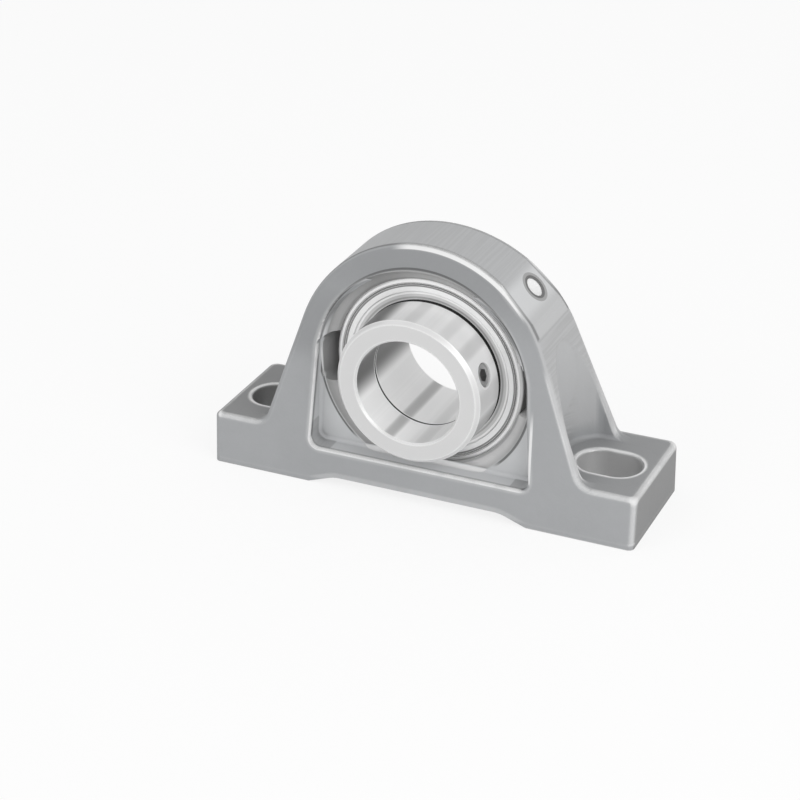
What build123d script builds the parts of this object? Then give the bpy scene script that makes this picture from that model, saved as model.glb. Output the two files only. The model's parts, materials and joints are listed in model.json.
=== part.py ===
from build123d import *
import math
import os

# Pillow block bearing: a cast housing that carries a self-aligning insert bearing with an
# eccentric locking collar. Millimetres, +Z up. The origin is on the mounting plane, below the
# middle of the bearing. +X runs along the base, and the shaft axis is parallel to Y at
# SHAFT_HEIGHT, with the locking collar on the -Y side.

# ---- Bearing rings and balls --------------------------------------------------------------
SHAFT_DIAMETER = 45.0
SHAFT_HEIGHT = 54.0
SEAT_DIAMETER = 85.0  # spherical outside of the outer ring
OUTER_RING_WIDTH = 22.0
BALL_DIAMETER = 12.7
BALL_COUNT = 9
PITCH_DIAMETER = 65.0
RACEWAY_RADIUS = 0.52 * BALL_DIAMETER
RACEWAY_PLAY = 0.05  # gap between a ball and the bottom of a raceway
OUTER_SHOULDER_RADIUS = 36.1
INNER_SHOULDER_RADIUS = 28.8
INNER_RING_FRONT = -14.4  # collar end of the inner ring, along Y
INNER_RING_REAR = 18.0
RING_CHAMFER = 0.8
OIL_HOLE_DIAMETER = 2.4
OIL_HOLE_OFFSET = 7.0  # along Y from the middle of the outer ring

# ---- Cage ---------------------------------------------------------------------------------
CAGE_RADII = (30.2, 34.9)
CAGE_FRONT = -3.4
CAGE_REAR = 7.2
CAGE_ROUNDING = 0.6
POCKET_RADIUS = BALL_DIAMETER / 2 + 0.2
PRONG_NOTCH = 4.4  # diameter of the notch between two pockets

# ---- Seals: a rubber disc between two steel washers, at each side ---------------------------
SEAL_RADIUS = 38.2
SEAL_INNER_FACE = 7.7  # distance of the inner washer from the middle plane
SEAL_OUTER_FACE = 10.8
SEAL_SEAT_CHAMFER = 0.7  # round the mouth of each seal's seat
INNER_WASHER = 0.8  # thicknesses
SEAL_DISC = 1.2
OUTER_WASHER = 0.6
WASHER_BORE_RADIUS = 31.6
WASHER_STEP_RADIUS = 35.1
WASHER_STEP = 0.5
LIP_EDGE = 0.5
LIP_SPREAD = 0.6  # how far each lip leans out of the disc
LIP_GAP = 0.15  # between a lip and the inner ring

# ---- Eccentric locking collar -------------------------------------------------------------
COLLAR_DIAMETER = 63.0
COLLAR_FRONT = -32.2
COLLAR_REAR = -11.4
COLLAR_CHAMFER = 0.8
COLLAR_RIM_CHAMFER = 1.6  # round the outside of its front face
ECCENTRICITY = 0.9
SHOULDER_START = -11.0  # where the eccentric shoulder of the inner ring begins
SHOULDER_RADIUS = 27.4
LOCKING_PLAY = 0.26  # radial gap that the collar takes up as it is turned to lock
COUNTERBORE_RELIEF = 0.3  # gap between the end of the inner ring and the counterbore's bottom

# ---- Grub screw ---------------------------------------------------------------------------
SCREW_DIAMETER = 10.0
SCREW_LENGTH = 8.0
SCREW_ANGLE = 18.0  # degrees above +X, seen from the collar side
SCREW_PLACE = -22.5  # along Y
SCREW_SOCKET = 5.0  # across flats
SCREW_CHAMFER = 0.8
CUP_RADIUS = 2.5
THREAD_PLAY = 0.05
SCREW_SUNK = 0.7  # how far its outer end lies below the outside of the collar

# ---- Housing: base and arch ---------------------------------------------------------------
BASE_LENGTH = 190.0
BASE_DEPTH = 54.0  # at the mounting plane
FACE_DRAFT = 0.12  # how much each face leans in, per unit of height
FOOT_HEIGHT = 22.0
ARCH_RADIUS = 56.5
FLANK_ANGLE = 19.5  # degrees from vertical
FLANK_FILLET = 7.0
EDGE_FILLET = 2.0
FRONT_CORNER = 2.5
REAR_CORNER = 4.0
HEEL_REAR = 28.0  # upright back of each foot, along Y
HEEL_INNER = 60.0  # where it begins, along X
HEEL_ROOT = 12.0  # inside the casting, along Y
SLOT_SPACING = 150.0
SLOT_LENGTH = 27.0
SLOT_WIDTH = 19.0
RELIEF_HEIGHT = 4.0  # hollow under the middle of the base
RELIEF_LENGTH = 99.0
SCOOP_RADIUS = 22.0  # round each slot, so that a bolt head and washer fit
SCOOP_DEPTH = 38.0
SCOOP_CORNER = 6.0
SCOOP_ROOT = 2.0
SCOOP_SINK = 0.05  # spot-faced just below the foot's cast top
SCOOP_RIM = 1.5
CAST_RIM = 1.0  # round the other cast openings
NEAR = 0.6  # how far from a face an edge may lie and still belong to it

# ---- Housing: recess, seat and grease port --------------------------------------------------
RECESS_FLOOR = 15.8  # distance of the recess floor from the middle plane
RECESS_BOTTOM = 15.5
RECESS_HALF_WIDTH = 49.5
RECESS_CORNER = 4.0
RECESS_ROOT = 1.6
MOUTH_RADIUS = 46.4
SEAT_PLAY = 0.05
SEAT_LAND = 11.2  # half width of the spherical land
FILLING_PLAY = 0.4  # room round the ring where it is passed in edgeways
FILLING_REACH = 48.0  # half width of the filling slots at the leaning face
FILLING_CORNER = 4.0
GREASE_GROOVE = (3.0, 8.0)  # along Y
GREASE_GROOVE_DEPTH = 0.6
PORT_ANGLE = 43.6  # degrees above +X
PORT_OFFSET = 4.5  # along Y from the middle plane
PORT_DIAMETER = 8.4
PORT_FLAT = 55.6  # distance of the spot-faced flat from the shaft axis
PLUG_LENGTH = 8.0
PLUG_SUNK = 0.6
PLUG_DISH_RADIUS = 7.2
PLUG_DISH_DEPTH = 1.1

BEARING_CENTRE = Pos(0, 0, SHAFT_HEIGHT)


def turned(half_section):
    """Revolve a half section (radius, distance along the shaft) about the shaft axis."""
    return BEARING_CENTRE * revolve(half_section, Axis.Y)


def band(inner, outer, low, high):
    """A rectangle of a half section, between two radii and two places along the shaft."""
    middle = Pos((inner + outer) / 2, (low + high) / 2)
    return middle * Rectangle(outer - inner, high - low)


def profile(points):
    """A closed face through the given points."""
    return make_face(Polyline(*points, close=True))


def around_shaft(angle, along=0.0):
    """Local frame on the shaft axis whose Z points outwards, angle degrees above +X."""
    return BEARING_CENTRE * Pos(0, along, 0) * Rot(0, 90 - angle, 0)


# ---- Housing: base and arch ---------------------------------------------------------------
def arch_tangent():
    """The point (x, z) where the right flank runs into the arch."""
    slope = math.radians(FLANK_ANGLE)
    return ARCH_RADIUS * math.cos(slope), SHAFT_HEIGHT + ARCH_RADIUS * math.sin(slope)


def half_depth(height):
    """Distance of the leaning faces from the middle plane at the given height."""
    return BASE_DEPTH / 2 - FACE_DRAFT * height


def casting_outline():
    """Front view: feet, flanks that run tangent into the arch, and the arch itself."""
    tangent = arch_tangent()
    half = BASE_LENGTH / 2
    foot_inner = tangent[0] + (tangent[1] - FOOT_HEIGHT) * math.tan(math.radians(FLANK_ANGLE))
    right = [(half, 0), (half, FOOT_HEIGHT), (foot_inner, FOOT_HEIGHT), tangent]
    left = [(-x, z) for x, z in reversed(right)]
    arch = ThreePointArc(right[-1], (0, SHAFT_HEIGHT + ARCH_RADIUS), left[0])
    outline = make_face(Polyline(*right) + arch + Polyline(*left) + Line(left[-1], right[0]))
    roots = [v for v in outline.vertices() if abs(v.Y - FOOT_HEIGHT) < NEAR and abs(v.X) < half - NEAR]
    return Plane.XZ * fillet(roots, FLANK_FILLET)


def casting_body():
    """The outline drawn through the depth, with both faces leaning in towards the top."""
    base = BASE_DEPTH / 2
    height = SHAFT_HEIGHT + ARCH_RADIUS + 1
    top = half_depth(height)
    leaning = Plane.YZ * profile([(-base, 0), (base, 0), (top, height), (-top, height)])
    return extrude(casting_outline(), base, both=True) & extrude(leaning, BASE_LENGTH, both=True)


def is_foot_corner(edge):
    """True for an upright corner edge of a foot."""
    return abs(edge.center().Z - FOOT_HEIGHT / 2) < NEAR and edge.length < FOOT_HEIGHT + NEAR


def is_outer_edge(edge):
    """True for an edge where a top surface meets a face or an end of the casting."""
    centre = edge.center()
    on_face = abs(abs(centre.Y) - half_depth(centre.Z)) < NEAR
    at_end = abs(centre.X) > BASE_LENGTH / 2 - REAR_CORNER
    return centre.Z > FOOT_HEIGHT - NEAR and (on_face or at_end)


def round_casting(body):
    """Cast corner radii on every outside edge except those of the machined underside."""
    for side, radius in ((1, REAR_CORNER), (-1, FRONT_CORNER)):
        corners = body.edges().filter_by(is_foot_corner)
        body = fillet(corners.filter_by(lambda edge: side * edge.center().Y > BASE_DEPTH / 4), radius)
    return fillet(body.edges().filter_by(is_outer_edge), EDGE_FILLET)


def is_heel_rim(edge):
    """True for an edge of a heel that lies on the outside of the casting."""
    centre = edge.center()
    return abs(centre.X) > HEEL_INNER + NEAR and centre.Y > HEEL_ROOT + NEAR


def foot_heel(side):
    """Upright back of a foot, which stands proud of the leaning face above it."""
    half = BASE_LENGTH / 2
    plan = [(HEEL_INNER, HEEL_ROOT), (half, HEEL_ROOT), (half, HEEL_REAR), (HEEL_INNER, HEEL_REAR)]
    block = extrude(profile([(side * x, y) for x, y in plan]), FOOT_HEIGHT)
    heel = fillet(block.edges().filter_by(Axis.Z).group_by(Axis.Y)[-1], REAR_CORNER)
    return fillet(heel.edges().group_by(Axis.Z)[-1].filter_by(is_heel_rim), EDGE_FILLET)


def underside_relief():
    """The shallow hollow that leaves two machined feet."""
    half = RELIEF_LENGTH / 2
    ramp = 3 * RELIEF_HEIGHT
    right = [(half, -1), (half, 0), (half - ramp, RELIEF_HEIGHT)]
    left = [(-x, z) for x, z in reversed(right)]
    hollow = profile(right + left)
    hollow = fillet(hollow.vertices().group_by(Axis.Y)[-1], 4 * RELIEF_HEIGHT)
    return extrude(Plane.XZ * hollow, BASE_DEPTH, both=True)


def flank_scoop(side):
    """Clearance for a bolt head and washer, with a rib left in front and behind."""
    plan = Circle(SCOOP_RADIUS) & Rectangle(2 * SCOOP_RADIUS, SCOOP_DEPTH)
    tool = extrude(fillet(plan.vertices(), SCOOP_CORNER), ARCH_RADIUS)
    tool = fillet(tool.edges().group_by(Axis.Z)[0], SCOOP_ROOT)
    return Pos(side * SLOT_SPACING / 2, 0, FOOT_HEIGHT - SCOOP_SINK) * tool


def is_scoop_rim(edge):
    """True for an edge where a scoop breaks out through a flank."""
    if edge.center().Z < FOOT_HEIGHT + SCOOP_ROOT:
        return False
    for place in (0.1, 0.5, 0.9):
        point = edge @ place
        from_slot = math.hypot(abs(point.X) - SLOT_SPACING / 2, point.Y)
        on_curve = abs(from_slot - SCOOP_RADIUS) < NEAR
        on_side = abs(abs(point.Y) - SCOOP_DEPTH / 2) < NEAR
        if abs(point.Y) > SCOOP_DEPTH / 2 + 0.1 or not (on_curve or on_side):
            return False
    return True


def foot_slot(side):
    """Slotted hole for a mounting bolt."""
    slot = extrude(SlotOverall(SLOT_LENGTH, SLOT_WIDTH), FOOT_HEIGHT + 2)
    return Pos(side * SLOT_SPACING / 2, 0, -1) * slot


def is_slot_rim(edge):
    """True for an edge where a mounting slot meets the top of a foot."""
    centre = edge.center()
    along = abs(abs(centre.X) - SLOT_SPACING / 2) < SLOT_LENGTH / 2 + NEAR
    across = abs(centre.Y) < SLOT_WIDTH / 2 + NEAR
    return along and across and abs(centre.Z - FOOT_HEIGHT) < NEAR


# ---- Housing: recess, seat and grease port --------------------------------------------------
def recess_outline():
    """The arch-shaped recess: flat bottom, legs that run tangent into the mouth circle."""
    drop = SHAFT_HEIGHT - RECESS_BOTTOM
    reach = math.hypot(RECESS_HALF_WIDTH, drop)
    rise = math.acos(MOUTH_RADIUS / reach) - math.atan2(drop, RECESS_HALF_WIDTH)
    tangent = (MOUTH_RADIUS * math.cos(rise), SHAFT_HEIGHT + MOUTH_RADIUS * math.sin(rise))
    right = [(0, RECESS_BOTTOM), (RECESS_HALF_WIDTH, RECESS_BOTTOM), tangent]
    left = [(-x, z) for x, z in reversed(right)]
    arch = ThreePointArc(right[-1], (0, SHAFT_HEIGHT + MOUTH_RADIUS), left[0])
    outline = make_face(Polyline(*right) + arch + Polyline(*left))
    corners = [v for v in outline.vertices() if abs(v.X) > NEAR and v.Y < RECESS_BOTTOM + NEAR]
    return fillet(corners, RECESS_CORNER)


def face_recess(side):
    """The recess on one face, with a rounded root where its walls meet the floor."""
    floor = Plane.XZ.offset(-side * RECESS_FLOOR) * recess_outline()
    pocket = extrude(floor, -side * BASE_DEPTH)
    root = pocket.edges().filter_by(lambda edge: abs(edge.center().Y - side * RECESS_FLOOR) < 0.01)
    return fillet(root, RECESS_ROOT)


def is_recess_rim(edge):
    """True for an edge where a recess meets its leaning face."""
    centre = edge.center()
    on_face = abs(abs(centre.Y) - half_depth(centre.Z)) < NEAR
    across = abs(centre.X) < RECESS_HALF_WIDTH + NEAR
    return on_face and across and FOOT_HEIGHT / 3 < centre.Z < SHAFT_HEIGHT + MOUTH_RADIUS + NEAR


def bearing_seat():
    """Spherical land with a conical lead-in at both sides, and a grease groove round the land."""
    radius = SEAT_DIAMETER / 2 + SEAT_PLAY
    edge = math.sqrt(radius**2 - SEAT_LAND**2)
    section = band(0, radius, -SEAT_LAND, SEAT_LAND) & Circle(radius)
    for side in (-1, 1):
        lead = [(0, SEAT_LAND), (edge, SEAT_LAND), (MOUTH_RADIUS, RECESS_FLOOR), (0, RECESS_FLOOR)]
        section += profile([(r, side * y) for r, y in lead])
    groove = band(PITCH_DIAMETER / 2, radius + GREASE_GROOVE_DEPTH, *GREASE_GROOVE)
    return turned(section + groove)


def filling_slots():
    """The two slots at the mouth through which the outer ring is passed in edgeways."""
    height = OUTER_RING_WIDTH + 2 * FILLING_PLAY
    at_face = Plane.XZ.offset(BASE_DEPTH / 2) * RectangleRounded(2 * FILLING_REACH, height, FILLING_CORNER)
    at_middle = Plane.XZ * RectangleRounded(SEAT_DIAMETER + FILLING_PLAY / 2, height, FILLING_CORNER)
    return BEARING_CENTRE * loft([at_face, at_middle])


def grease_port():
    """Spot-faced flat across the arch and the port drilled through to the seat."""
    cutter = Box(ARCH_RADIUS, BASE_DEPTH, ARCH_RADIUS)
    flat = Pos(0, 0, PORT_FLAT + ARCH_RADIUS / 2) * cutter
    bore = Pos(0, PORT_OFFSET, SEAT_DIAMETER / 2) * Cylinder(PORT_DIAMETER / 2, ARCH_RADIUS)
    return around_shaft(PORT_ANGLE) * (flat + bore)


def housing():
    body = round_casting(casting_body()) - underside_relief()
    for side in (-1, 1):
        body += foot_heel(side)
        body -= flank_scoop(side)
    body = fillet(body.edges().filter_by(is_scoop_rim), SCOOP_RIM)
    for side in (-1, 1):
        body -= face_recess(side)
        body -= foot_slot(side)
    rims = body.edges().filter_by(is_recess_rim) + body.edges().filter_by(is_slot_rim)
    body = fillet(rims, CAST_RIM)
    body -= bearing_seat()
    body -= filling_slots()
    body -= grease_port()
    return body


def grease_port_plug():
    """Push-in plug with a dished head, just below the spot-faced flat."""
    top = PORT_FLAT - PLUG_SUNK
    plug = Pos(0, PORT_OFFSET, top - PLUG_LENGTH / 2) * Cylinder(PORT_DIAMETER / 2, PLUG_LENGTH)
    dish = Pos(0, PORT_OFFSET, top - PLUG_DISH_DEPTH + PLUG_DISH_RADIUS) * Sphere(PLUG_DISH_RADIUS)
    return around_shaft(PORT_ANGLE) * (plug - dish)


# ---- Insert bearing -----------------------------------------------------------------------
def raceway(centre):
    """Half section of a ball groove whose arc is centred at the given radius."""
    return Pos(centre, 0) * Circle(RACEWAY_RADIUS)


def outer_ring():
    """Crowned outside, ball groove, a stepped seat for the seal at each side and an oil hole."""
    radius = SEAT_DIAMETER / 2
    half = OUTER_RING_WIDTH / 2
    section = band(OUTER_SHOULDER_RADIUS, radius, -half, half) & Circle(radius)
    section = chamfer(section.vertices().group_by(Axis.X)[-1], RING_CHAMFER)
    section -= raceway((PITCH_DIAMETER + BALL_DIAMETER) / 2 + RACEWAY_PLAY - RACEWAY_RADIUS)
    for side in (-1, 1):
        section -= band(0, SEAL_RADIUS, *sorted((side * SEAL_INNER_FACE, side * half)))
    mouths = [v for v in section.vertices() if v.X < SEAL_RADIUS + 0.1 and abs(v.Y) > SEAL_OUTER_FACE]
    section = chamfer(mouths, SEAL_SEAT_CHAMFER)
    hole = Pos(0, 0, radius) * Cylinder(OIL_HOLE_DIAMETER / 2, BALL_DIAMETER)
    return turned(section) - around_shaft(PORT_ANGLE, OIL_HOLE_OFFSET) * hole


def inner_ring():
    """Wide ring with a ball groove, whose collar end is turned down to an eccentric shoulder."""
    bore = SHAFT_DIAMETER / 2
    section = band(bore, INNER_SHOULDER_RADIUS, SHOULDER_START, INNER_RING_REAR)
    section = chamfer(section.vertices().group_by(Axis.Y)[-1], RING_CHAMFER)
    section -= raceway((PITCH_DIAMETER - BALL_DIAMETER) / 2 - RACEWAY_PLAY + RACEWAY_RADIUS)
    shoulder = eccentric_disc(SHOULDER_RADIUS, INNER_RING_FRONT, SHOULDER_START)
    shaft = turned(band(0, bore, 2 * INNER_RING_FRONT, 2 * INNER_RING_REAR))
    return turned(section) + shoulder - shaft


def eccentric_disc(radius, low, high):
    """A disc round the shaft whose centre is raised by the eccentricity."""
    return Pos(0, 0, ECCENTRICITY) * turned(band(0, radius, low, high))


def ball_frame(number):
    """Frame at the middle of a ball, or between two balls where the number ends in a half."""
    return around_shaft(90 + number * 360 / BALL_COUNT) * Pos(0, 0, PITCH_DIAMETER / 2)


def ball(number):
    return ball_frame(number) * Sphere(BALL_DIAMETER / 2)


def ball_cage():
    """One-piece crown cage: a ring behind the balls with a snap pocket for each of them."""
    section = band(*CAGE_RADII, CAGE_FRONT, CAGE_REAR)
    cage = turned(fillet(section.vertices(), CAGE_ROUNDING))
    pocket = Sphere(POCKET_RADIUS)
    notch = Pos(0, CAGE_FRONT, 0) * Cylinder(PRONG_NOTCH / 2, PITCH_DIAMETER / 4)
    for number in range(BALL_COUNT):
        cage -= ball_frame(number) * pocket
        cage -= ball_frame(number + 0.5) * notch
    return cage


# ---- Seals --------------------------------------------------------------------------------
def seal_ring(section, side):
    """Turn a half section, drawn for the +Y side, on the given side of the bearing."""
    return turned(section if side > 0 else mirror(section, Plane.XZ))


def seal_inner_washer(side):
    """Flat steel washer next to the balls."""
    section = band(WASHER_BORE_RADIUS, SEAL_RADIUS, SEAL_INNER_FACE, SEAL_INNER_FACE + INNER_WASHER)
    return seal_ring(section, side)


def seal_lip(side):
    """Moulded rubber disc held between the washers, with two lips that reach the inner ring."""
    low = SEAL_INNER_FACE + INNER_WASHER
    high = low + SEAL_DISC
    root = WASHER_BORE_RADIUS - 0.2
    tip = INNER_SHOULDER_RADIUS + LIP_GAP
    outline = [(SEAL_RADIUS, high), (SEAL_RADIUS, low), (root, low)]
    outline += [(tip, low - LIP_SPREAD), (tip, low - LIP_SPREAD + LIP_EDGE)]
    outline += [((root + tip) / 2, (low + high) / 2)]
    outline += [(tip, high + LIP_SPREAD - LIP_EDGE), (tip, high + LIP_SPREAD), (root, high)]
    return seal_ring(profile(outline), side)


def seal_outer_washer(side):
    """Pressed steel washer: a shallow step round its face, and a rim gripped by the outer ring."""
    start = SEAL_INNER_FACE + INNER_WASHER + SEAL_DISC
    high = SEAL_OUTER_FACE
    low = high - WASHER_STEP
    outside = [(SEAL_RADIUS, start), (SEAL_RADIUS, high), (WASHER_STEP_RADIUS + 0.3, high)]
    outside += [(WASHER_STEP_RADIUS - 0.3, low), (WASHER_BORE_RADIUS, low)]
    inside = [(WASHER_BORE_RADIUS, low - OUTER_WASHER), (WASHER_STEP_RADIUS, low - OUTER_WASHER)]
    inside += [(WASHER_STEP_RADIUS + 0.6, high - OUTER_WASHER)]
    inside += [(SEAL_RADIUS - OUTER_WASHER, high - OUTER_WASHER), (SEAL_RADIUS - OUTER_WASHER, start)]
    return seal_ring(profile(outside + inside), side)


# ---- Locking collar and its screw ---------------------------------------------------------
def screw_frame():
    """Frame on the shaft axis whose Z points out along the grub screw."""
    return around_shaft(SCREW_ANGLE, SCREW_PLACE)


def locking_collar():
    """Ring with an eccentric counterbore that wedges on the shoulder of the inner ring."""
    outside = COLLAR_DIAMETER / 2
    thread = SCREW_DIAMETER / 2
    section = band(SHAFT_DIAMETER / 2, outside, COLLAR_FRONT, COLLAR_REAR)
    corners = section.vertices().sort_by(lambda corner: corner.Y - corner.X)
    section = chamfer(corners[1:], COLLAR_CHAMFER)
    rim = section.vertices().sort_by(lambda corner: corner.Y - corner.X)[0]
    collar = turned(chamfer(rim, COLLAR_RIM_CHAMFER))
    bottom = INNER_RING_FRONT - COUNTERBORE_RELIEF
    collar -= eccentric_disc(SHOULDER_RADIUS + LOCKING_PLAY, bottom, COLLAR_REAR + 1)
    tapped = Pos(0, 0, outside) * Cylinder(thread, outside)
    countersink = Pos(0, 0, outside) * Cone(thread - 1, thread + 1, 2)
    return collar - screw_frame() * (tapped + countersink)


def grub_screw():
    """Hexagon socket set screw with a cup point."""
    top = COLLAR_DIAMETER / 2 - SCREW_SUNK
    bottom = top - SCREW_LENGTH
    screw = Pos(0, 0, (top + bottom) / 2) * Cylinder(SCREW_DIAMETER / 2 - THREAD_PLAY, SCREW_LENGTH)
    screw = chamfer(screw.edges().filter_by(GeomType.CIRCLE), SCREW_CHAMFER)
    socket = RegularPolygon(SCREW_SOCKET / math.sqrt(3), 6)
    screw -= Pos(0, 0, top) * extrude(socket, -SCREW_SOCKET)
    screw -= Pos(0, 0, bottom) * Cone(CUP_RADIUS, CUP_RADIUS / 3, CUP_RADIUS)
    return screw_frame() * screw


def all_parts():
    """Every sub-part by the name of its node."""
    parts = {
        "housing": housing(),
        "grease_port_plug": grease_port_plug(),
        "outer_ring": outer_ring(),
        "inner_ring": inner_ring(),
        "ball_cage": ball_cage(),
        "locking_collar": locking_collar(),
        "grub_screw": grub_screw(),
    }
    for place, side in (("front", -1), ("rear", 1)):
        parts[f"{place}_seal_inner_washer"] = seal_inner_washer(side)
        parts[f"{place}_seal_lip"] = seal_lip(side)
        parts[f"{place}_seal_outer_washer"] = seal_outer_washer(side)
    for number in range(BALL_COUNT):
        parts[f"ball_{number + 1}"] = ball(number)
    return parts


def main():
    os.makedirs("parts", exist_ok=True)
    for node, shape in all_parts().items():
        export_step(shape, f"parts/{node}.step")


if __name__ == "__main__":
    main()
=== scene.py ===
import json
import math

import bpy
from mathutils import Matrix, Vector

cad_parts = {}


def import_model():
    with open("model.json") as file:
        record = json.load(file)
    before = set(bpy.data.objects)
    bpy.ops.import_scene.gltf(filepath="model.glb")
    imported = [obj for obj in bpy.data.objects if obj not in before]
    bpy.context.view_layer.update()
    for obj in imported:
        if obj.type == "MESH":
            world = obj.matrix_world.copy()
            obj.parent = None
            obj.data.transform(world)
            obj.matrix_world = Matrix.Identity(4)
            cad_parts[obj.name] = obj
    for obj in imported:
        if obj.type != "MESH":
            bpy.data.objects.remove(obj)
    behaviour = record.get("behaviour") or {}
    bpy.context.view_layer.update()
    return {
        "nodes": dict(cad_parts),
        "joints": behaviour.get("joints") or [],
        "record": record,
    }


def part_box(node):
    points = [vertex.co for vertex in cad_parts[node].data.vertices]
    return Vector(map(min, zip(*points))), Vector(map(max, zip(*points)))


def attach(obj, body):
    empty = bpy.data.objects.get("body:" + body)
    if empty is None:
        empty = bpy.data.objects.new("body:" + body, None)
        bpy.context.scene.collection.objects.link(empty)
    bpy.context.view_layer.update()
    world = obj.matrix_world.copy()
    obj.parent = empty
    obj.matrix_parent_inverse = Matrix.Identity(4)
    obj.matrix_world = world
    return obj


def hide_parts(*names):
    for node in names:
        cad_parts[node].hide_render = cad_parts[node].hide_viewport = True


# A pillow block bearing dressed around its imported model. Metres, +Z up, with the shaft parallel to Y.
# The front is the side of the locking collar, at -Y. Left and right are -X and +X.

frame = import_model()
joints = {joint["name"]: joint for joint in frame["joints"]}

SHAFT = Vector(joints["shaft_spin"]["pos_m"])
SCREW_AXIS = Vector(joints["grub_screw_travel"]["axis"])

UP = (0.0, 0.0, 1.0)
RIGHT = (1.0, 0.0, 0.0)

# ---- Housing: sizes that its finish follows ------------------------------------------------
BASE_HALF_DEPTH = 0.027
FACE_DRAFT = 0.12  # how much the front and back faces lean in, per unit of height
MOUTH_RADIUS = 0.0464  # machined mouth of the housing
SEAT_HALF_WIDTH = 0.0158
RECESS_HALF_WIDTH = 0.0500
RECESS_BOTTOM = 0.0150
ARCH_RADIUS = 0.0565
PORT_ANGLE = math.radians(43.6)
PORT_FLAT = 0.0556  # spot-faced flat round the grease port, from the shaft axis
PORT_OFFSET = 0.0045  # of the grease port along the shaft
PORT_RING_RADIUS = 0.0047
SPOT_FACE_RADIUS = 0.0068
SLOT_OFFSET = 0.075
SLOT_HALF_RUN = 0.004
SLOT_RADIUS = 0.0095
HIGHLIGHT_SIDE = (0.55, -0.45, 0.70)  # edges that face this way get the painted highlight
BORDER = 0.0004  # width over which most of the housing's lines and areas fade out
ARCH_LINE_RADIUS = ARCH_RADIUS - 0.0010
ARCH_LINE_HALF_WIDTH = 0.0005
MOUTH_LINE_RADIUS = MOUTH_RADIUS + 0.0004
MOUTH_LINE_HALF_WIDTH = 0.0003
SIDE_LINE_OFFSET = RECESS_HALF_WIDTH - 0.0004
SIDE_LINE_HALF_WIDTH = 0.0004
PORT_RING_HALF_WIDTH = 0.0004
EDGE_REACH = 0.0030  # how far from an edge its painted highlight reaches
CORNER_REACH = 0.0050  # how far out of a corner its painted shade reaches

# Sectors round the shaft: middle and half width in degrees, from +X towards +Z.
LIT_ARC = (70, 40)
LOWER_RIGHT = (-45, 85)

# Fades over a distance or a height: none of a finish at the first value, all of it at the second.
RECESS_START = (0.0006, 0.0010)  # in from the face
UNDER_RIM = (0.0030, 0.0018)  # in from the face
HIGHLIGHT_HEIGHT = (0.0012, 0.0030)
FLANK_ACROSS = (0.030, 0.044)
FLANK_HEIGHT = (0.024, 0.032)
ARCH_HEIGHT = (0.062, 0.070)
ARCH_EDGE = (ARCH_RADIUS - 0.0045, ARCH_RADIUS - 0.0035)
ARCH_OUTSIDE = (ARCH_RADIUS - 0.0008, ARCH_RADIUS - 0.0002)
HATCHED_RADIUS = (0.066, 0.059)
SIDE_LINE_DEPTH = (0.0014, 0.0008)
SIDE_LINE_FOOT = (0.018, 0.020)
SIDE_LINE_HEAD = (0.052, 0.040)
MOUTH_LINE_ALONG = (0.012, 0.014)
MOUTH_LINE_FOOT = (0.018, 0.022)
CROWN_FOOT = (0.050, 0.064)
CROWN_TOP = (0.070, 0.100)
SHOULDER_ACROSS = (0.030, 0.000)
SHOULDER_TOP = (0.100, 0.055)
SHOULDER_SLOPE = 0.4  # how much the shoulder's top falls, per unit to the right
LEFT_FOOT = (-0.050, -0.060)
RIGHT_END = (0.088, 0.092)
SEAT_RADIUS = (MOUTH_RADIUS - 0.0001, MOUTH_RADIUS - 0.0004)
SEAT_ALONG = (SEAT_HALF_WIDTH - 0.0001, SEAT_HALF_WIDTH - 0.0004)
SEAT_CONE_OUTER = (0.0462, 0.0434)
SEAT_CONE_INNER = (0.0415, 0.0424)
UNDERSIDE_HEIGHT = (0.0003, 0.0001)
SPOT_FACE_EDGE = (SPOT_FACE_RADIUS, SPOT_FACE_RADIUS - 0.0003)
SPOT_FACE_OUT = (PORT_FLAT - 0.0030, PORT_FLAT - 0.0020)
PORT_RING_OUT = (PORT_FLAT - 0.0050, PORT_FLAT - 0.0030)
SLOT_WALL = (SLOT_RADIUS + 0.0004, SLOT_RADIUS + 0.0002)

# ---- Collar, rings and washers: sizes that their finishes follow ----------------------------
BORE_RADIUS = 0.0225
BORE_WALL = (BORE_RADIUS - 0.0010, BORE_RADIUS + 0.0009)
COLLAR_RADIUS = 0.0315
COLLAR_WALL = (COLLAR_RADIUS - 0.0009, COLLAR_RADIUS + 0.0010)
JOINT_PLACE = -0.01455  # where the bores of collar and inner ring meet, along Y
JOINT_HALF_WIDTH = 0.0004
JOINT_FADE = 0.0002
JOINT_RADIUS = (BORE_RADIUS + 0.0020, BORE_RADIUS + 0.0012)
STREAK_FADE = 0.0003
RING_FADE = 0.0003

# Streaks of painted shade and reflection along a wall: lowest radius, highest radius, angle in degrees, half
# width in degrees, depth.
BORE_PAINTED_STREAKS = (
    (*BORE_WALL, 168, 34, 0.92),
    (*BORE_WALL, 247, 8, 0.50),
    (*BORE_WALL, 285, 12, 0.22),
)
COLLAR_PAINTED_STREAKS = (
    (*COLLAR_WALL, 123, 22, 0.94),
    (*COLLAR_WALL, 88, 7, 0.20),
    (*COLLAR_WALL, 60, 6, 0.14),
    (*COLLAR_WALL, 40, 7, 0.24),
    (*COLLAR_WALL, 0, 14, 0.25),
    (*COLLAR_WALL, -28, 22, 0.55),
)
# Rings painted on an end face, the dark ones as shade beside gaps and the bright ones as highlights: radius,
# half width, grey level.
OUTER_RING_RINGS = (
    (0.0388, 0.0003, 0.16),
    (0.0402, 0.0007, 0.97),
    (0.0418, 0.0003, 0.12),
)
WASHER_RINGS = (
    (0.0325, 0.0002, 0.40),
    (0.0357, 0.0015, 0.96),
    (0.0379, 0.0003, 0.20),
)

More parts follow.
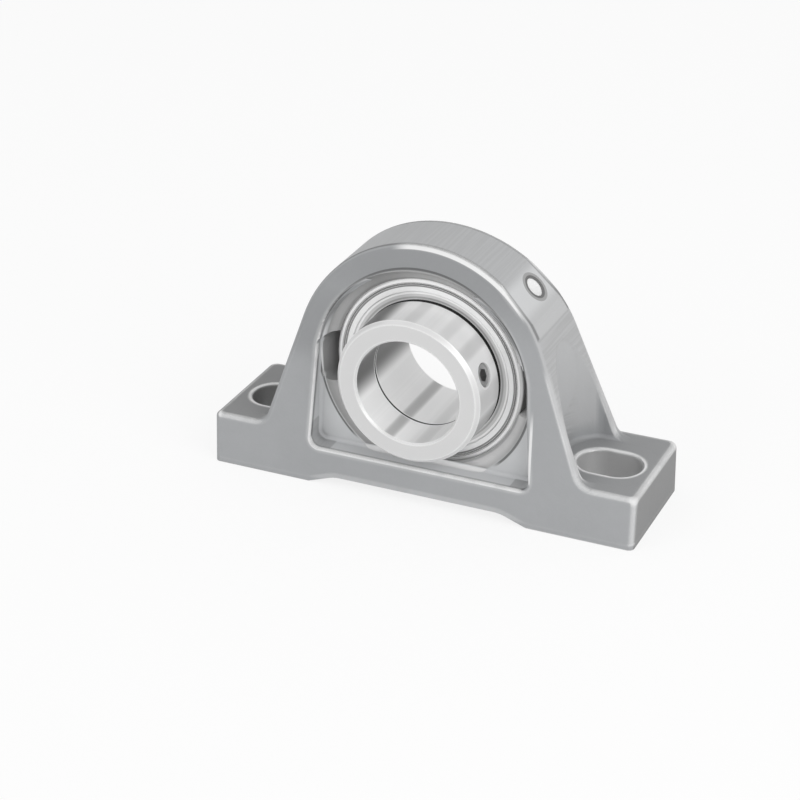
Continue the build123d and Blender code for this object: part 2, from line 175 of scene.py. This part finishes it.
# ---- Grub screw ---------------------------------------------------------------------------
SCREW_LENGTH = 0.008
SCREW_RADIUS = 0.00495
SCREW_PITCH = 0.0015
SCREW_CHAMFER = 0.0008
THREAD_DEPTH = 0.0007
CORE_LENGTH = 1.2 * SCREW_LENGTH  # trimmed to the screw's length by its envelope
RIDGE_DEPTH = 1.4 * THREAD_DEPTH  # the ridge starts inside the core, so that the two join
CREST_SHARE = 0.07  # half widths of the ridge, as shares of the pitch
ROOT_SHARE = 0.48
SOCKET_FLATS = 0.005
SOCKET_DEPTH = 0.005
CUP_RADIUS = 0.0025
CUP_OVERSHOOT = 0.0001  # how far the cup's cutter stands out of the screw
ROUND_SIDES = 96
CUP_SIDES = 48
TURN_STEPS = 64
SMOOTH_ANGLE = math.radians(35)
TINY = 1e-7  # points nearer than this are one point

# ---- Floor and camera ---------------------------------------------------------------------
FLOOR_SIZE = 40
FLOOR_LEVEL = -0.0002  # just under the feet
CAMERA_AZIMUTH = 26.088
CAMERA_ELEVATION = 27.969
CAMERA_ROLL = -1.644
CAMERA_TARGET = Vector((-0.041721, 0.047119, 0.003693))
CAMERA_DISTANCE = 0.939506
LENS = 94.34
SENSOR_WIDTH = 36


# ---- Shader maths -------------------------------------------------------------------------
def wire(socket, value):
    """Link an input socket to a Value, or set it to a constant."""
    if isinstance(value, Value):
        socket.id_data.links.new(value.socket, socket)
    else:
        socket.default_value = value


def new_node(tree, kind, settings, values):
    """Add a node, set it up and wire its inputs."""
    node = tree.nodes.new(kind)
    for name, setting in settings.items():
        setattr(node, name, setting)
    for name, value in values.items():
        wire(node.inputs[name], value)
    return node


class Value:
    """An output socket that Python's operators work on."""

    def __init__(self, socket):
        self.socket = socket

    def combine(self, operation, first, second=0.0):
        """Add a Math node for an operation on one or two values."""
        tree = self.socket.id_data
        node = new_node(tree, "ShaderNodeMath", {"operation": operation}, {0: first, 1: second})
        return Value(node.outputs[0])

    def __add__(self, other):
        return self.combine("ADD", self, other)

    def __radd__(self, other):
        return self.combine("ADD", other, self)

    def __sub__(self, other):
        return self.combine("SUBTRACT", self, other)

    def __rsub__(self, other):
        return self.combine("SUBTRACT", other, self)

    def __mul__(self, other):
        return self.combine("MULTIPLY", self, other)

    def __rmul__(self, other):
        return self.combine("MULTIPLY", other, self)

    def __truediv__(self, other):
        return self.combine("DIVIDE", self, other)

    def __pow__(self, other):
        return self.combine("POWER", self, other)

    def __abs__(self):
        return self.combine("ABSOLUTE", self)

    def both(self, other):
        """The lower of two masks."""
        return self.combine("MINIMUM", self, other)

    def either(self, other):
        """The higher of two masks."""
        return self.combine("MAXIMUM", self, other)

    def angle_to(self, other):
        """The angle of a point this far up and the other far across, in radians."""
        return self.combine("ARCTAN2", self, other)


class Finish:
    """A material under construction: one Principled shader and the nodes that feed it."""

    def __init__(self, name):
        self.material = bpy.data.materials.new(name)
        self.material.use_nodes = True
        self.tree = self.material.node_tree
        self.shader = self.tree.nodes["Principled BSDF"]
        self.place = self.node("ShaderNodeTexCoord", {}, {}, "Object")
        self.x, self.y, self.z = (self.part(self.place, axis) for axis in "XYZ")
        self.above = self.z - SHAFT.z
        self.radius = (self.x * self.x + self.above * self.above) ** 0.5
        self.angle = self.above.angle_to(self.x)
        self.normal = self.node("ShaderNodeTexCoord", {}, {}, "Normal")
        self.facing_y = self.part(self.normal, "Y")
        self.end_on = abs(self.facing_y)  # 1 on faces square to the shaft, 0 on walls along it

    def node(self, kind, settings, values, output):
        """Add a node to this material and return one of its outputs."""
        return Value(new_node(self.tree, kind, settings, values).outputs[output])

    def part(self, vector, axis):
        """One coordinate of a vector."""
        return self.node("ShaderNodeSeparateXYZ", {}, {"Vector": vector}, axis)

    def vector(self, x, y):
        """A vector of two values, to lay a pattern in."""
        return self.node("ShaderNodeCombineXYZ", {}, {"X": x, "Y": y}, "Vector")

    def noise(self, scale, detail=3.0, roughness=0.55, vector=None):
        """Soft random blotches from 0 to 1, in the piece's own place or along a vector."""
        values = {"Vector": vector or self.place, "Scale": scale, "Detail": detail, "Roughness": roughness}
        return self.node("ShaderNodeTexNoise", {}, values, "Fac")

    def step(self, value, low, high):
        """0 below low, 1 above high and smooth between them; low may be the larger."""
        values = {"Value": value, "From Min": low, "From Max": high}
        return self.node("ShaderNodeMapRange", {"interpolation_type": "SMOOTHSTEP"}, values, "Result")

    def band(self, value, middle, half_width, fade=BORDER):
        """1 within half_width of the middle, and 0 from one fade further out."""
        return self.step(abs(value - middle), half_width + fade, half_width)

    def blend(self, mask, first, second):
        """A colour between two, each given as a link or as (r, g, b)."""
        values = {"Factor": mask}
        for place, colour in ((6, first), (7, second)):
            values[place] = colour if isinstance(colour, Value) else (*colour, 1.0)
        return self.node("ShaderNodeMix", {"data_type": "RGBA"}, values, 2)

    def coats(self, colour, *layers):
        """Lay coats over a colour, the first one lowest, each given as (mask, colour)."""
        for mask, coat in layers:
            colour = self.blend(mask, colour, coat)
        return colour

    def edges(self, reach):
        """1 on a convex edge and 0 on a flat, from rays sent into the piece."""
        settings = {"inside": True, "only_local": True, "samples": 16}
        open_share = self.node("ShaderNodeAmbientOcclusion", settings, {"Distance": reach}, "AO")
        return 1.0 - open_share

    def corners(self, reach):
        """1 deep in a concave corner and 0 on a flat."""
        settings = {"only_local": True, "samples": 12}
        open_share = self.node("ShaderNodeAmbientOcclusion", settings, {"Distance": reach}, "AO")
        return 1.0 - open_share

    def towards(self, direction):
        """How squarely the surface faces a direction: 1 for straight at it."""
        settings = {"operation": "DOT_PRODUCT"}
        return self.node("ShaderNodeVectorMath", settings, {0: self.normal, 1: direction}, "Value")

    def ray(self, degrees, half_width):
        """1 at an angle round the shaft, seen from the collar side, fading to 0 beside it."""
        turn = math.radians(degrees)
        along = (self.x * math.cos(turn) + self.above * math.sin(turn)) / self.radius
        return self.step(along, math.cos(math.radians(half_width)), 1.0)

    def bump(self, height, distance, strength):
        """Raise the surface's shading by a height from 0 to 1."""
        values = {"Height": height, "Distance": distance, "Strength": strength}
        wire(self.shader.inputs["Normal"], self.node("ShaderNodeBump", {}, values, "Normal"))

    def finish(self, **values):
        """Set the shader's own sockets, named with underscores for spaces, and return the material."""
        for name, value in values.items():
            wire(self.shader.inputs[name.replace("_", " ")], value)
        return self.material


def grey(level):
    return (level, level, level)


# ---- Finish of the housing ----------------------------------------------------------------
def recess(cast, depth):
    """1 in the recess round the mouth, from just under its rim."""
    across = cast.step(abs(cast.x), RECESS_HALF_WIDTH + BORDER, RECESS_HALF_WIDTH)
    upward = cast.step(cast.z, RECESS_BOTTOM - BORDER, RECESS_BOTTOM)
    return across.both(upward).both(cast.step(depth, *RECESS_START))


def right_flank(cast):
    """1 on the walls above the right foot, apart from the front and back faces."""
    place = cast.step(cast.x, *FLANK_ACROSS) * cast.step(cast.z, *FLANK_HEIGHT)
    return place * cast.step(cast.end_on, 0.95, 0.80)


def edge_highlights(cast, depth, flank):
    """1 on edges painted bright as highlights where they face up, to the right and to the front, a little
    patchy, with a painted highlight line on the arch's front edge and one beside the recess.
    """
    patchy = cast.step(cast.noise(90.0, 3.0), 0.30, 0.55)
    bright_edges = cast.step(cast.edges(EDGE_REACH), 0.100, 0.150) * cast.step(cast.towards(HIGHLIGHT_SIDE), 0.45, 0.72)
    bright_edges = bright_edges * (0.75 + 0.25 * patchy) * cast.step(cast.z, *HIGHLIGHT_HEIGHT) * (1.0 - 0.7 * flank)
    high = cast.step(cast.z, *ARCH_HEIGHT)
    lit = cast.step(cast.ray(*LIT_ARC), 0.10, 0.60)
    bright_edges = bright_edges * (1.0 - cast.step(cast.radius, *ARCH_EDGE) * high * (1.0 - lit))
    arch_line = cast.band(cast.radius, ARCH_LINE_RADIUS, ARCH_LINE_HALF_WIDTH) * high * lit
    arch_line = arch_line * cast.step(cast.facing_y, -0.25, -0.45)
    side_line = cast.band(cast.x, SIDE_LINE_OFFSET, SIDE_LINE_HALF_WIDTH)
    side_line = side_line * cast.step(depth, *SIDE_LINE_DEPTH)
    side_line = side_line * cast.step(cast.z, *SIDE_LINE_FOOT) * cast.step(cast.z, *SIDE_LINE_HEAD)
    return bright_edges.either(arch_line).either(side_line * 0.9)


def painted_shade(cast, depth, inside):
    """Painted shade: 1 deep in corners, on a line round the mouth and, a little less, under the recess's
    rim.
    """
    corners = cast.step(cast.corners(CORNER_REACH), 0.22, 0.75)
    under_rim = inside * cast.step(depth, *UNDER_RIM)
    mouth_line = cast.band(cast.radius, MOUTH_LINE_RADIUS, MOUTH_LINE_HALF_WIDTH)
    mouth_line = mouth_line * cast.step(cast.end_on, 0.4, 0.6) * cast.step(abs(cast.y), *MOUTH_LINE_ALONG)
    return corners.either(under_rim * 0.8).either(mouth_line * cast.step(cast.z, *MOUTH_LINE_FOOT))


def painted_light_and_shade(cast, flank):
    """Painted light and shade: coats that make the upper front and back faces, the left foot's top, the
    right end and the outer walls darker, and the right flank and hatch lines on the arch lighter.
    """
    shoulder = cast.step(cast.z + SHOULDER_SLOPE * cast.x, *SHOULDER_TOP)
    shoulder = shoulder * cast.step(cast.x, *SHOULDER_ACROSS)
    crown = shoulder.either(cast.step(cast.z, *CROWN_TOP)) * cast.step(cast.z, *CROWN_FOOT)
    crown = crown * cast.step(cast.end_on, 0.7, 0.9)
    left_top = cast.step(cast.towards(UP), 0.80, 0.95) * cast.step(cast.x, *LEFT_FOOT)
    right_end = cast.step(cast.towards(RIGHT), 0.80, 0.95) * cast.step(cast.x, *RIGHT_END)
    outside = cast.step(cast.end_on, 0.6, 0.3) * cast.step(cast.radius, *ARCH_OUTSIDE)
    lines = cast.noise(1.0, 2.0, 0.6, cast.vector(cast.angle * 50.0, cast.y * 12.0))
    hatched = outside * cast.step(cast.radius, *HATCHED_RADIUS) * cast.step(lines, 0.44, 0.60)
    return (
        (crown * 0.45, (0.20, 0.205, 0.21)),
        ((left_top * 0.75).either(right_end * 0.9).either(outside * 0.45), grey(0.22)),
        (flank * (1.0 - right_end) * 0.40, grey(0.60)),
        (hatched * 0.35, (0.53, 0.535, 0.545)),
    )


def port_place(cast):
    """Distance from the grease port's axis, and distance along it from the shaft's axis."""
    outward = cast.x * math.cos(PORT_ANGLE) + cast.above * math.sin(PORT_ANGLE)
    sideways = cast.x * math.sin(PORT_ANGLE) - cast.above * math.cos(PORT_ANGLE)
    along = cast.y - PORT_OFFSET
    return (sideways * sideways + along * along) ** 0.5, outward


def machined_faces(cast, from_port, outward):
    """1 on bare metal: the seat, the underside, the spot face and the walls of the slots."""
    seat = cast.step(cast.radius, *SEAT_RADIUS).both(cast.step(abs(cast.y), *SEAT_ALONG))
    underside = cast.step(cast.z, *UNDERSIDE_HEIGHT)
    spot_face = cast.step(from_port, *SPOT_FACE_EDGE).both(cast.step(outward, *SPOT_FACE_OUT))
    slot_end = (abs(abs(cast.x) - SLOT_OFFSET) - SLOT_HALF_RUN).either(0.0)
    from_slot = (slot_end * slot_end + cast.y * cast.y) ** 0.5
    return seat.either(underside).either(spot_face).either(cast.step(from_slot, *SLOT_WALL))


def bare_iron(cast):
    """Machined iron: fine lines, painted light that makes it brighter at the lower right, and a painted
    highlight on the cone into the seat.
    """
    lines = cast.noise(1.0, 3.0, 0.6, cast.vector(cast.radius * 3500.0, cast.y * 3500.0))
    low_right = cast.step(cast.ray(*LOWER_RIGHT), 0.05, 0.55)
    cone = cast.step(cast.radius, *SEAT_CONE_OUTER) * cast.step(cast.radius, *SEAT_CONE_INNER)
    iron = cast.blend(lines, grey(0.30), grey(0.40))
    # painted light at the lower right and a painted highlight on the cone
    return cast.coats(iron, (low_right, grey(0.56)), (cone * (0.25 + 0.75 * low_right), grey(0.86)))


def cast_housing():
    """Grey painted casting: sand grain and bare machined faces, with painted highlights on edges, painted
    shade in corners and under the recess's rim, and areas painted lighter and darker as light and shade.
    """
    cast = Finish("cast_housing")
    mottle = cast.noise(28.0, 2.0)
    grain = cast.noise(1100.0, 4.0, 0.65)
    lumps = cast.noise(230.0, 2.0, 0.5)
    tone = 0.5 * mottle + 0.3 * grain + 0.2 * lumps
    depth = BASE_HALF_DEPTH - FACE_DRAFT * cast.z - abs(cast.y)
    inside = recess(cast, depth)
    flank = right_flank(cast)
    from_port, outward = port_place(cast)
    port_ring = cast.band(from_port, PORT_RING_RADIUS, PORT_RING_HALF_WIDTH)
    port_ring = port_ring * cast.step(outward, *PORT_RING_OUT)
    machined = machined_faces(cast, from_port, outward)
    cast.bump(0.45 * grain + 0.55 * lumps, 0.00035, 0.55)
    return cast.finish(
        Base_Color=cast.coats(
            cast.blend(tone, (0.325, 0.332, 0.340), (0.405, 0.413, 0.424)),
            # painted light: the recess is painted lighter against the shade that falls in it
            (inside * 0.9, (0.66, 0.67, 0.68)),
            # painted light and shade, region by region
            *painted_light_and_shade(cast, flank),
            # painted shade in corners, round the mouth and under the recess's rim
            (painted_shade(cast, depth, inside) * 0.8, grey(0.07)),
            # painted highlights on the edges that face the light
            (edge_highlights(cast, depth, flank), grey(0.84)),
            (machined, bare_iron(cast)),
            # painted shade: a dark ring round the grease port
            (port_ring * 0.75, grey(0.07)),
        ),
        Metallic=machined * 0.35,
        Roughness=0.60 - 0.24 * machined,
    )


# ---- Finishes of the other pieces ---------------------------------------------------------
def patches_and_painted_streaks(steel, painted_streaks):
    """How dark a wall is: soft random patches all round it and the given streaks of painted shade and
    reflection.
    """
    around = steel.vector(steel.x / steel.radius, steel.above / steel.radius)
    dark = 0.06 * steel.step(steel.noise(5.5, 3.0, 0.6, around), 0.60, 0.40)
    for lowest, highest, degrees, half_width, depth in painted_streaks:
        here = steel.band(steel.radius, (lowest + highest) / 2, (highest - lowest) / 2, STREAK_FADE)
        dark = dark.either(steel.ray(degrees, half_width) * here * depth)
    return dark


def machined_steel(name, light, dark, face, line_scale, edge_reach, painted_streaks=(), rings=()):
    """Turned or ground steel: fine lines round the shaft, streaks of painted shade and reflection along its
    walls, and painted highlights on its edges.

    Its end faces are duller by the factor face.
    """
    steel = Finish(name)
    lines = steel.noise(1.0, 3.0, 0.7, steel.vector(steel.radius * line_scale, steel.y * line_scale))
    haze = steel.noise(60.0, 3.0)
    mix = 0.5 * lines + 0.5 * haze
    wall = steel.step(steel.end_on, 0.75, 0.55)
    walls = steel.blend(mix, grey(dark), grey(light))
    faces = steel.blend(mix, grey(dark * face), grey(light * face))
    # rings of painted shade and painted highlight on the end faces
    circles = [
        (steel.band(steel.radius, place, half_width, RING_FADE) * 0.9, grey(level))
        for place, half_width, level in rings
    ]
    bright_edges = steel.step(steel.edges(edge_reach), 0.05, 0.2)
    joint = steel.band(steel.y, JOINT_PLACE, JOINT_HALF_WIDTH, JOINT_FADE)
    joint = joint * steel.step(steel.radius, *JOINT_RADIUS)
    steel.bump(lines, 0.00002, 0.35)
    return steel.finish(
        Base_Color=steel.coats(
            steel.blend(wall, faces, walls),
            # painted shade and reflection streaks on the walls
            (patches_and_painted_streaks(steel, painted_streaks) * wall, grey(0.045)),
            *circles,
            # painted highlights on the edges
            (bright_edges * 0.8, grey(0.96)),
            (joint, grey(0.03)),
        ),
        Metallic=0.30,
        Roughness=0.30 + 0.08 * haze + 0.05 * lines,
    )


def screw_steel():
    """Hardened screw steel with a dull, slightly dark skin."""
    steel = Finish("screw_steel")
    speck = steel.noise(1500.0, 3.0)
    bright_edges = steel.step(steel.edges(0.0004), 0.2, 0.7)
    colour = steel.blend(speck, grey(0.50), grey(0.62))
    steel.bump(speck, 0.00003, 0.4)
    return steel.finish(
        Base_Color=steel.blend(bright_edges, colour, grey(0.75)),
        Metallic=1.0,
        Roughness=0.30 + 0.12 * speck,
    )


def ball_steel():
    """Polished balls with a faint haze."""
    steel = Finish("ball_steel")
    haze = steel.noise(500.0, 3.0)
    steel.bump(haze, 0.00001, 0.2)
    return steel.finish(
        Base_Color=steel.blend(haze, grey(0.80), grey(0.90)),
        Metallic=1.0,
        Roughness=0.06 + 0.06 * haze,
    )


def moulded(name, light, dark, roughness, grain_scale):
    """Moulded plastic or rubber: a slight flow mottle and a fine eroded grain."""
    stuff = Finish(name)
    flow = stuff.noise(120.0, 3.0)
    grain = stuff.noise(grain_scale, 3.0)
    bright_edges = stuff.step(stuff.edges(0.0006), 0.25, 0.8)
    colour = stuff.blend(0.6 * flow + 0.4 * grain, dark, light)
    lighter = tuple(min(1.0, 1.25 * share + 0.02) for share in light)
    stuff.bump(grain, 0.00004, 0.4)
    return stuff.finish(
        Base_Color=stuff.blend(bright_edges * 0.6, colour, lighter),
        Roughness=roughness + 0.12 * grain,
    )


finishes = {
    "cast_housing": cast_housing(),
    "ground_steel": machined_steel(
        "ground_steel", light=0.96, dark=0.86, face=0.76, line_scale=9000.0, edge_reach=0.0012,
        painted_streaks=BORE_PAINTED_STREAKS, rings=OUTER_RING_RINGS,
    ),
    "turned_steel": machined_steel(
        "turned_steel", light=0.98, dark=0.92, face=0.70, line_scale=5000.0, edge_reach=0.0012,
        painted_streaks=BORE_PAINTED_STREAKS + COLLAR_PAINTED_STREAKS,
    ),
    "washer_steel": machined_steel(
        "washer_steel", light=0.80, dark=0.68, face=0.88, line_scale=2500.0, edge_reach=0.0002,
        rings=WASHER_RINGS,
    ),
    "screw_steel": screw_steel(),
    "ball_steel": ball_steel(),
    "cage_polymer": moulded("cage_polymer", (0.70, 0.63, 0.48), (0.60, 0.52, 0.38), 0.45, 2200.0),
    "seal_rubber": moulded("seal_rubber", grey(0.030), grey(0.016), 0.55, 1800.0),
    "plug_plastic": moulded("plug_plastic", grey(0.93), grey(0.86), 0.35, 2600.0),
}


def paint(piece, slot):
    """Give a piece the finish of one of the record's material slots."""
    piece.data.materials.clear()
    piece.data.materials.append(finishes[slot])


for part in frame["record"]["subparts"]:
    paint(frame["nodes"][part["node"]], part["material_slot"])


# ---- Modelling ----------------------------------------------------------------------------
def only(piece):
    """Select one piece alone and make it active."""
    bpy.ops.object.select_all(action="DESELECT")
    piece.select_set(True)
    bpy.context.view_layer.objects.active = piece


def added(name):
    """Name the primitive that was just added."""
    piece = bpy.context.object
    piece.name = name
    return piece


def settle(piece):
    """Move a piece's place and turn into its mesh."""
    only(piece)
    bpy.ops.object.transform_apply(location=True, rotation=True, scale=True)


def open_mesh(piece, selection):
    """Start editing a piece, with all of its mesh selected or none of it."""
    only(piece)
    bpy.ops.object.mode_set(mode="EDIT")
    bpy.ops.mesh.select_all(action=selection)


def apply_modifier(piece, kind, **settings):
    """Add a modifier with these settings and apply it."""
    only(piece)
    modifier = piece.modifiers.new(kind.lower(), kind)
    for name, setting in settings.items():
        setattr(modifier, name, setting)
    bpy.ops.object.modifier_apply(modifier=modifier.name)


def cut(piece, tool, operation):
    """Join, cut or trim a piece with a tool, which is then deleted."""
    apply_modifier(piece, "BOOLEAN", operation=operation, object=tool, solver="EXACT")
    bpy.data.objects.remove(tool)


def rod(name, radius, length, sides, chamfer=0.0):
    """An upright rod round the origin, with both ends chamfered where a chamfer is given."""
    bpy.ops.object.select_all(action="DESELECT")
    bpy.ops.mesh.primitive_cylinder_add(vertices=sides, radius=radius, depth=length)
    piece = added(name)
    if chamfer:
        open_mesh(piece, "DESELECT")
        bpy.ops.object.mode_set(mode="OBJECT")
        for edge in piece.data.edges:
            lower, upper = sorted(piece.data.vertices[end].co.z for end in edge.vertices)
            edge.select = upper - lower < TINY
        bpy.ops.object.mode_set(mode="EDIT")
        bpy.ops.mesh.select_mode(type="EDGE")
        bpy.ops.mesh.bevel(offset=chamfer, segments=1)
        bpy.ops.object.mode_set(mode="OBJECT")
    return piece


def thread_ridge(name, root, crest, pitch, turns):
    """A helical ridge from a root radius out to a crest radius, closed at both ends."""
    bpy.ops.object.select_all(action="DESELECT")
    bpy.ops.mesh.primitive_plane_add(size=1)
    piece = added(name)
    for corner in piece.data.vertices:
        radius, share = (crest, CREST_SHARE) if corner.co.x > 0 else (root, ROOT_SHARE)
        corner.co = (radius, 0, math.copysign(share, corner.co.y) * pitch)
    open_mesh(piece, "SELECT")
    bpy.ops.mesh.delete(type="ONLY_FACE")
    bpy.ops.object.mode_set(mode="OBJECT")
    apply_modifier(
        piece, "SCREW", angle=2 * math.pi, screw_offset=pitch, iterations=turns,
        steps=TURN_STEPS, render_steps=TURN_STEPS,
    )
    open_mesh(piece, "SELECT")
    bpy.ops.mesh.remove_doubles(threshold=TINY)
    bpy.ops.mesh.select_all(action="DESELECT")
    bpy.ops.mesh.select_mode(type="EDGE")
    bpy.ops.mesh.select_non_manifold()
    bpy.ops.mesh.edge_face_add()
    bpy.ops.mesh.select_all(action="SELECT")
    bpy.ops.mesh.normals_make_consistent(inside=False)
    bpy.ops.transform.translate(value=(0, 0, -turns * pitch / 2))
    bpy.ops.object.mode_set(mode="OBJECT")
    return piece


def socket_cutter():
    """The hexagonal prism that makes the socket in the screw's outer end."""
    socket = rod("socket", SOCKET_FLATS / math.sqrt(3), 2 * SOCKET_DEPTH, 6)
    socket.location.z = SCREW_LENGTH / 2
    settle(socket)
    return socket


def cup_cutter():
    """The cone that makes the cup in the screw's inner end."""
    height = -SCREW_LENGTH / 2 + CUP_RADIUS / 2 - CUP_OVERSHOOT
    bpy.ops.object.select_all(action="DESELECT")
    bpy.ops.mesh.primitive_cone_add(
        vertices=CUP_SIDES, radius1=CUP_RADIUS, radius2=0, depth=CUP_RADIUS, location=(0, 0, height)
    )
    return added("cup")


def grub_screw():
    """Set screw with a real thread, a hexagon socket and a cup point."""
    screw = rod("grub_screw_threaded", SCREW_RADIUS - THREAD_DEPTH, CORE_LENGTH, ROUND_SIDES)
    turns = math.ceil(SCREW_LENGTH / SCREW_PITCH) + 1
    cut(screw, thread_ridge("ridge", SCREW_RADIUS - RIDGE_DEPTH, SCREW_RADIUS, SCREW_PITCH, turns), "UNION")
    cut(screw, rod("envelope", SCREW_RADIUS, SCREW_LENGTH, ROUND_SIDES, SCREW_CHAMFER), "INTERSECT")
    cut(screw, socket_cutter(), "DIFFERENCE")
    cut(screw, cup_cutter(), "DIFFERENCE")
    lowest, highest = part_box("grub_screw")
    along_axis = SCREW_AXIS.to_track_quat("Z", "Y").to_matrix().to_4x4()
    screw.matrix_world = Matrix.Translation((lowest + highest) / 2) @ along_axis
    settle(screw)
    bpy.ops.object.shade_smooth_by_angle(angle=SMOOTH_ANGLE)
    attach(screw, "grub_screw")
    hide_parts("grub_screw")
    paint(screw, "screw_steel")


grub_screw()


# ---- Floor, light and camera ---------------------------------------------------------------
def shown_background(tree):
    """1 for the rays that see the background: camera, glossy and transmission rays."""
    path = new_node(tree, "ShaderNodeLightPath", {}, {})
    seen = Value(path.outputs["Is Camera Ray"])
    seen = seen.either(Value(path.outputs["Is Glossy Ray"]))
    return seen.either(Value(path.outputs["Is Transmission Ray"]))


def floor(glow_share):
    """A wide plain floor, white to the camera apart from the object's soft shadow."""
    bpy.ops.object.select_all(action="DESELECT")
    bpy.ops.mesh.primitive_plane_add(size=FLOOR_SIZE, location=(0, 0, FLOOR_LEVEL))
    ground = added("floor")
    material = bpy.data.materials.new("floor_paper")
    material.use_nodes = True
    tree = material.node_tree
    paper = tree.nodes["Principled BSDF"]
    wire(paper.inputs["Base Color"], (1, 1, 1, 1))
    wire(paper.inputs["Roughness"], 0.9)
    glow = new_node(tree, "ShaderNodeEmission", {}, {"Strength": 1.0})
    shaders = {0: shown_background(tree) * glow_share, 1: Value(paper.outputs[0]), 2: Value(glow.outputs[0])}
    mix = new_node(tree, "ShaderNodeMixShader", {}, shaders)
    wire(tree.nodes["Material Output"].inputs["Surface"], Value(mix.outputs[0]))
    ground.data.materials.append(material)


def world(ambient):
    """White to the camera and in reflections, and a softer level as light."""
    scene_world = bpy.data.worlds.new("studio")
    bpy.context.scene.world = scene_world
    scene_world.use_nodes = True
    tree = scene_world.node_tree
    seen = shown_background(tree)
    background = tree.nodes["Background"]
    wire(background.inputs["Color"], (1, 1, 1, 1))
    wire(background.inputs["Strength"], ambient + seen * (1.0 - ambient))


def bearing_to_viewer(azimuth, elevation):
    """The direction out to a camera or lamp: azimuth 0 is the front, and it grows to the right."""
    turn, tilt = math.radians(azimuth), math.radians(elevation)
    return Vector((math.sin(turn) * math.cos(tilt), -math.cos(turn) * math.cos(tilt), math.sin(tilt)))


def placed(name, data):
    """Put a lamp's or camera's data in the scene."""
    holder = bpy.data.objects.new(name, data)
    bpy.context.scene.collection.objects.link(holder)
    return holder


def lamp(name, azimuth, elevation, distance, size, energy):
    """A rectangular soft lamp aimed at the bearing."""
    back = bearing_to_viewer(azimuth, elevation)
    light = bpy.data.lights.new(name, "AREA")
    light.shape = "RECTANGLE"
    light.size, light.size_y = size
    light.energy = energy
    holder = placed(name, light)
    holder.location = SHAFT + back * distance
    holder.rotation_mode = "QUATERNION"
    holder.rotation_quaternion = (-back).to_track_quat("-Z", "Y")


def camera():
    """The main camera: in front of the bearing, to its right and above it."""
    turn, roll = math.radians(CAMERA_AZIMUTH), math.radians(CAMERA_ROLL)
    back = bearing_to_viewer(CAMERA_AZIMUTH, CAMERA_ELEVATION)
    level = Vector((math.cos(turn), math.sin(turn), 0))
    upright = back.cross(level)
    right = math.cos(roll) * level + math.sin(roll) * upright
    up = math.cos(roll) * upright - math.sin(roll) * level
    data = bpy.data.cameras.new("camera")
    data.lens = LENS
    data.sensor_width = SENSOR_WIDTH
    data.clip_start = 0.05
    data.clip_end = 100
    holder = placed("camera", data)
    turned = Matrix((right, up, back)).transposed().to_4x4()
    holder.matrix_world = Matrix.Translation(CAMERA_TARGET + back * CAMERA_DISTANCE) @ turned
    bpy.context.scene.camera = holder


floor(glow_share=0.82)
world(ambient=0.66)
lamp("key", azimuth=62, elevation=30, distance=1.4, size=(1.0, 1.0), energy=6.5)
lamp("fill", azimuth=-35, elevation=25, distance=1.4, size=(0.9, 0.7), energy=2.5)
camera()
bpy.context.scene.view_settings.view_transform = "Standard"
